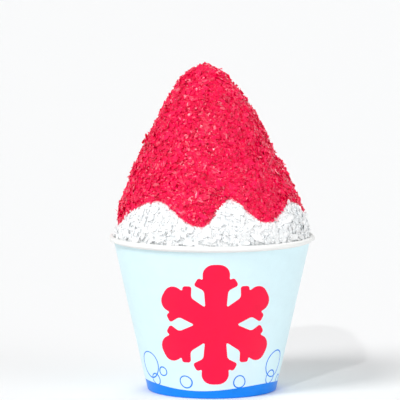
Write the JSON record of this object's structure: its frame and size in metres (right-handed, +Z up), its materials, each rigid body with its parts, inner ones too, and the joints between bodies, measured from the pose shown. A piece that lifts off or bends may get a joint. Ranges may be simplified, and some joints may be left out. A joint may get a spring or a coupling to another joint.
{
  "type": "kakigori",
  "caption": "Shaved ice heaped high in a tapered paper cup with a rolled rim and printed wall, the top of the ice soaked with red syrup down to a wavy drip edge.",
  "frame": {"origin": "middle of the foot ring's rest plane, on the cup's axis", "axes": "+Z up along the cup's axis, -Y towards the viewer through the middle of the printed front, +X to the viewer's right"},
  "size_m": [0.102, 0.102, 0.162],
  "materials": {
    "printed_paper": "thin poly-coated paper printed pale blue, with a blue wave and bubbles at the foot and a red snow crystal at the front",
    "white_paper": "thin poly-coated white paper, unprinted",
    "plain_ice": "finely shaved white ice, wet sparkle on the flakes",
    "syrup_ice": "finely shaved ice soaked with crimson strawberry syrup, wet"
  },
  "bodies": {
    "root": {"cup_wall": "printed_paper", "cup_base": "white_paper", "plain_ice": "plain_ice", "syrup_ice": "syrup_ice"}
  },
  "joints": []
}
